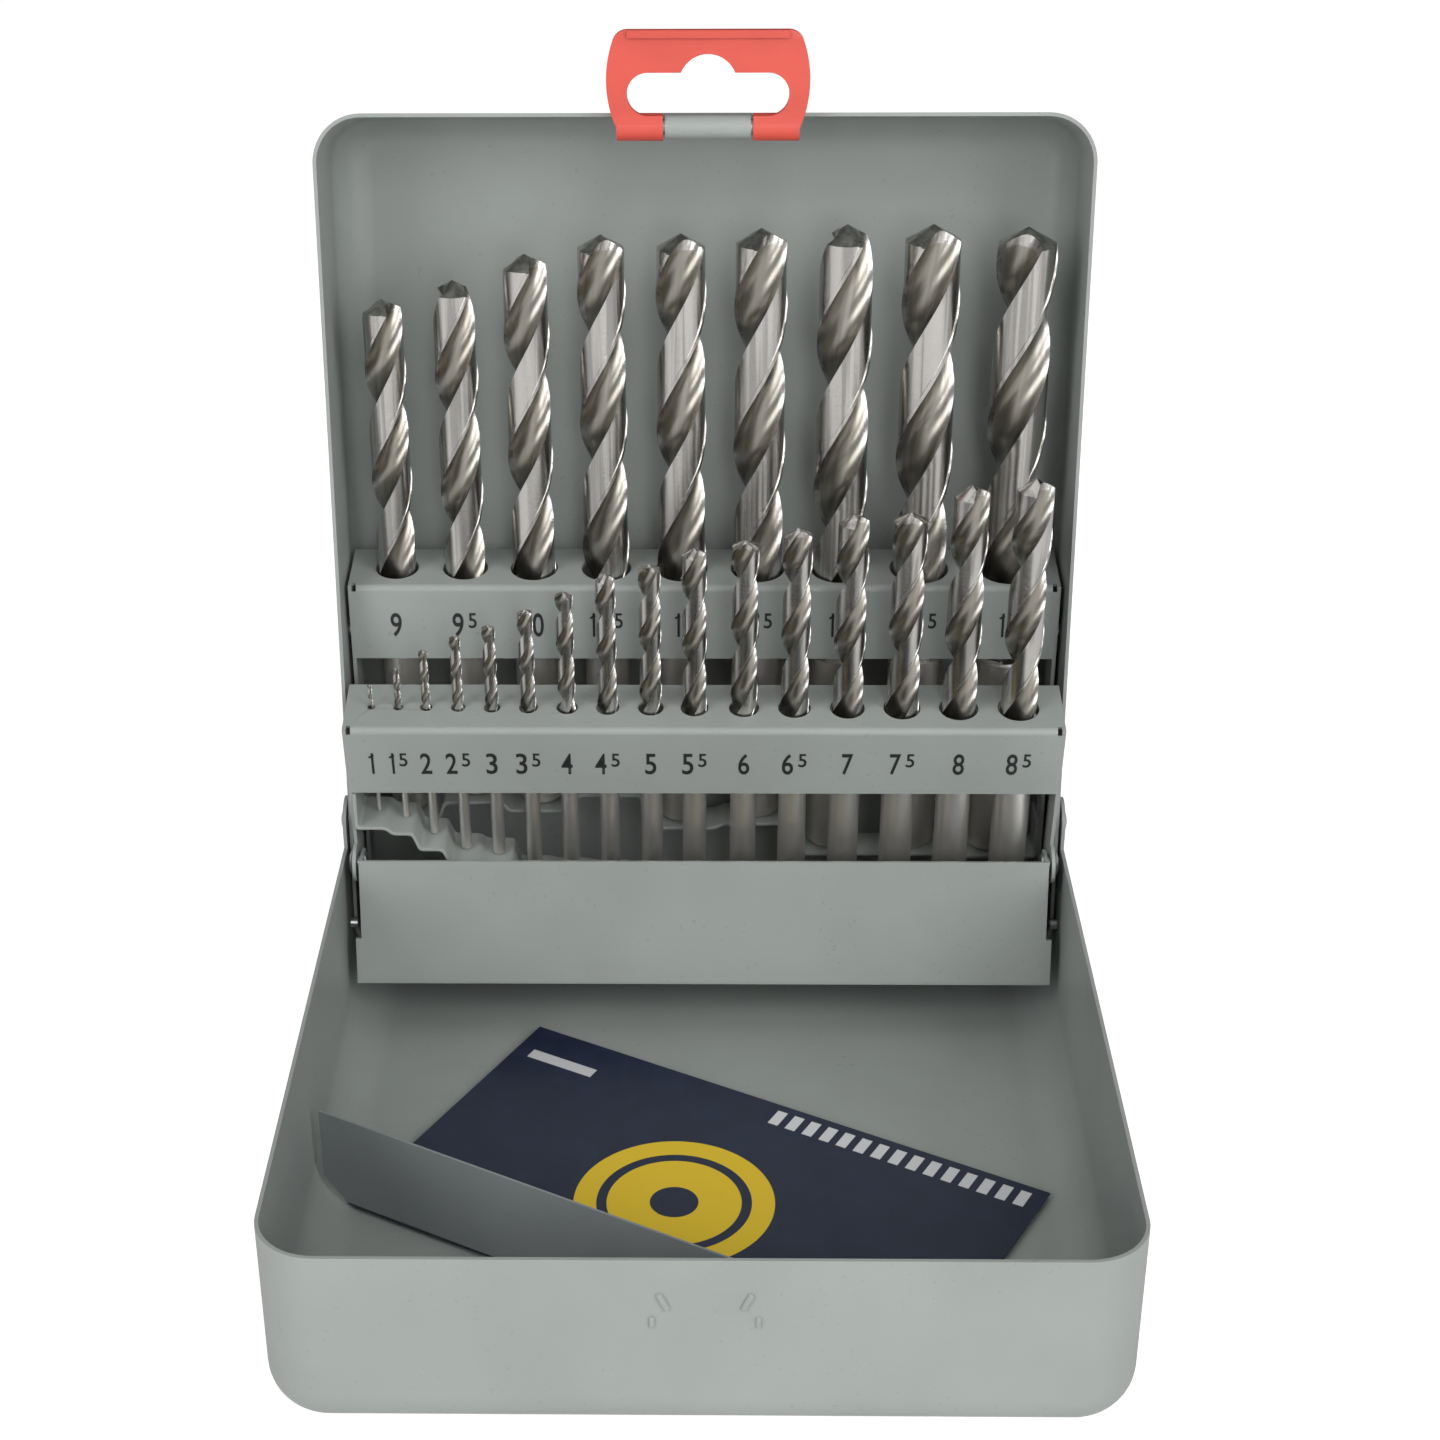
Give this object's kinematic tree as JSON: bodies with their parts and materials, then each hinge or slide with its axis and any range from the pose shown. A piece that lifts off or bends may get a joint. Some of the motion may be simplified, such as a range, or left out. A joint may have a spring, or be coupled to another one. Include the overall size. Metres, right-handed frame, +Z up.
{
  "type": "drill bit case",
  "caption": "Hinged sheet-steel case standing open, with two racks of graded twist drills, a tray apron, a loose card and a red hanging loop.",
  "frame": {"origin": "centre of the front shell's flat underside", "axes": "+X to the right, +Y to the back where the back shell stands, +Z up; the case stands open"},
  "size_m": [0.169, 0.198, 0.2265],
  "materials": {
    "case_paint": "satin grey-green paint",
    "bright_steel": "plain bright steel",
    "rest_steel": "satin paint",
    "red_plastic": "moulded red plastic",
    "card_print": "printed card",
    "card_back": "plain card",
    "drill_steel": "ground high-speed steel"
  },
  "bodies": {
    "front_shell": {"front_shell": "case_paint", "hinge_rivet_left": "bright_steel", "hinge_rivet_right": "bright_steel", "stop_pin_left": "bright_steel", "stop_pin_right": "bright_steel"},
    "back_shell": {"back_shell": "case_paint", "hanger_pin": "bright_steel", "tray": "case_paint", "tray_rivet_left": "bright_steel", "tray_rivet_right": "bright_steel", "back_rack": "case_paint", "back_rests": "rest_steel", "rack_rivet_left": "bright_steel", "rack_rivet_right": "bright_steel"},
    "front_rack": {"front_rack": "case_paint", "front_rests": "rest_steel"},
    "hanger": {"hanger": "red_plastic"},
    "insert": {"insert_card": "card_print", "card_flap": "card_back"},
    "drill_1_0": {"drill_1_0": "drill_steel"},
    "drill_1_5": {"drill_1_5": "drill_steel"},
    "drill_2_0": {"drill_2_0": "drill_steel"},
    "drill_2_5": {"drill_2_5": "drill_steel"},
    "drill_3_0": {"drill_3_0": "drill_steel"},
    "drill_3_5": {"drill_3_5": "drill_steel"},
    "drill_4_0": {"drill_4_0": "drill_steel"},
    "drill_4_5": {"drill_4_5": "drill_steel"},
    "drill_5_0": {"drill_5_0": "drill_steel"},
    "drill_5_5": {"drill_5_5": "drill_steel"},
    "drill_6_0": {"drill_6_0": "drill_steel"},
    "drill_6_5": {"drill_6_5": "drill_steel"},
    "drill_7_0": {"drill_7_0": "drill_steel"},
    "drill_7_5": {"drill_7_5": "drill_steel"},
    "drill_8_0": {"drill_8_0": "drill_steel"},
    "drill_8_5": {"drill_8_5": "drill_steel"},
    "drill_9_0": {"drill_9_0": "drill_steel"},
    "drill_9_5": {"drill_9_5": "drill_steel"},
    "drill_10_0": {"drill_10_0": "drill_steel"},
    "drill_10_5": {"drill_10_5": "drill_steel"},
    "drill_11_0": {"drill_11_0": "drill_steel"},
    "drill_11_5": {"drill_11_5": "drill_steel"},
    "drill_12_0": {"drill_12_0": "drill_steel"},
    "drill_12_5": {"drill_12_5": "drill_steel"},
    "drill_13_0": {"drill_13_0": "drill_steel"}
  },
  "joints": [
    {"name": "case_hinge", "type": "hinge", "parent": "front_shell", "child": "back_shell", "pos_m": [0, 0.0594, 0.0475], "axis": [-1, 0, 0], "range_deg": [-96.4, 0]},
    {"name": "front_rack_hinge", "type": "hinge", "parent": "back_shell", "child": "front_rack", "pos_m": [0, 0.04874, 0.04215], "axis": [1, 0, 0], "range_deg": [0, 15]},
    {"name": "hanger_hinge", "type": "hinge", "parent": "back_shell", "child": "hanger", "pos_m": [0.0008, 0.06979, 0.20653], "axis": [-1, 0, 0], "range_deg": [-90, 0]},
    {"name": "insert_lift", "type": "slide", "parent": "front_shell", "child": "insert", "axis": [0, 0, 1], "range_m": [0, 0.012]},
    {"name": "drill_1_0_lift", "type": "slide", "parent": "front_rack", "child": "drill_1_0", "axis": [0, -0.0872, 0.9962], "range_m": [0, 0.0305]},
    {"name": "drill_1_5_lift", "type": "slide", "parent": "front_rack", "child": "drill_1_5", "axis": [0, -0.0872, 0.9962], "range_m": [0, 0.0321]},
    {"name": "drill_2_0_lift", "type": "slide", "parent": "front_rack", "child": "drill_2_0", "axis": [0, -0.0872, 0.9962], "range_m": [0, 0.0365]},
    {"name": "drill_2_5_lift", "type": "slide", "parent": "front_rack", "child": "drill_2_5", "axis": [0, -0.0872, 0.9962], "range_m": [0, 0.0408]},
    {"name": "drill_3_0_lift", "type": "slide", "parent": "front_rack", "child": "drill_3_0", "axis": [0, -0.0872, 0.9962], "range_m": [0, 0.0421]},
    {"name": "drill_3_5_lift", "type": "slide", "parent": "front_rack", "child": "drill_3_5", "axis": [0, -0.0872, 0.9962], "range_m": [0, 0.0471]},
    {"name": "drill_4_0_lift", "type": "slide", "parent": "front_rack", "child": "drill_4_0", "axis": [0, -0.0872, 0.9962], "range_m": [0, 0.0477]},
    {"name": "drill_4_5_lift", "type": "slide", "parent": "front_rack", "child": "drill_4_5", "axis": [0, -0.0872, 0.9962], "range_m": [0, 0.0483]},
    {"name": "drill_5_0_lift", "type": "slide", "parent": "front_rack", "child": "drill_5_0", "axis": [0, -0.0872, 0.9962], "range_m": [0, 0.0518]},
    {"name": "drill_5_5_lift", "type": "slide", "parent": "front_rack", "child": "drill_5_5", "axis": [0, -0.0872, 0.9962], "range_m": [0, 0.0549]},
    {"name": "drill_6_0_lift", "type": "slide", "parent": "front_rack", "child": "drill_6_0", "axis": [0, -0.0872, 0.9962], "range_m": [0, 0.0529]},
    {"name": "drill_6_5_lift", "type": "slide", "parent": "front_rack", "child": "drill_6_5", "axis": [0, -0.0872, 0.9962], "range_m": [0, 0.0579]},
    {"name": "drill_7_0_lift", "type": "slide", "parent": "front_rack", "child": "drill_7_0", "axis": [0, -0.0872, 0.9962], "range_m": [0, 0.0625]},
    {"name": "drill_7_5_lift", "type": "slide", "parent": "front_rack", "child": "drill_7_5", "axis": [0, -0.0872, 0.9962], "range_m": [0, 0.0622]},
    {"name": "drill_8_0_lift", "type": "slide", "parent": "front_rack", "child": "drill_8_0", "axis": [0, -0.0872, 0.9962], "range_m": [0, 0.0637]},
    {"name": "drill_8_5_lift", "type": "slide", "parent": "front_rack", "child": "drill_8_5", "axis": [0, -0.0872, 0.9962], "range_m": [0, 0.0621]},
    {"name": "drill_9_0_lift", "type": "slide", "parent": "back_shell", "child": "drill_9_0", "axis": [0, 0, 1], "range_m": [0, 0.0375]},
    {"name": "drill_9_5_lift", "type": "slide", "parent": "back_shell", "child": "drill_9_5", "axis": [0, 0, 1], "range_m": [0, 0.0332]},
    {"name": "drill_10_0_lift", "type": "slide", "parent": "back_shell", "child": "drill_10_0", "axis": [0, 0, 1], "range_m": [0, 0.0274]},
    {"name": "drill_10_5_lift", "type": "slide", "parent": "back_shell", "child": "drill_10_5", "axis": [0, 0, 1], "range_m": [0, 0.0232]},
    {"name": "drill_11_0_lift", "type": "slide", "parent": "back_shell", "child": "drill_11_0", "axis": [0, 0, 1], "range_m": [0, 0.023]},
    {"name": "drill_11_5_lift", "type": "slide", "parent": "back_shell", "child": "drill_11_5", "axis": [0, 0, 1], "range_m": [0, 0.0218]},
    {"name": "drill_12_0_lift", "type": "slide", "parent": "back_shell", "child": "drill_12_0", "axis": [0, 0, 1], "range_m": [0, 0.021]},
    {"name": "drill_12_5_lift", "type": "slide", "parent": "back_shell", "child": "drill_12_5", "axis": [0, 0, 1], "range_m": [0, 0.021]},
    {"name": "drill_13_0_lift", "type": "slide", "parent": "back_shell", "child": "drill_13_0", "axis": [0, 0, 1], "range_m": [0, 0.0216]}
  ]
}
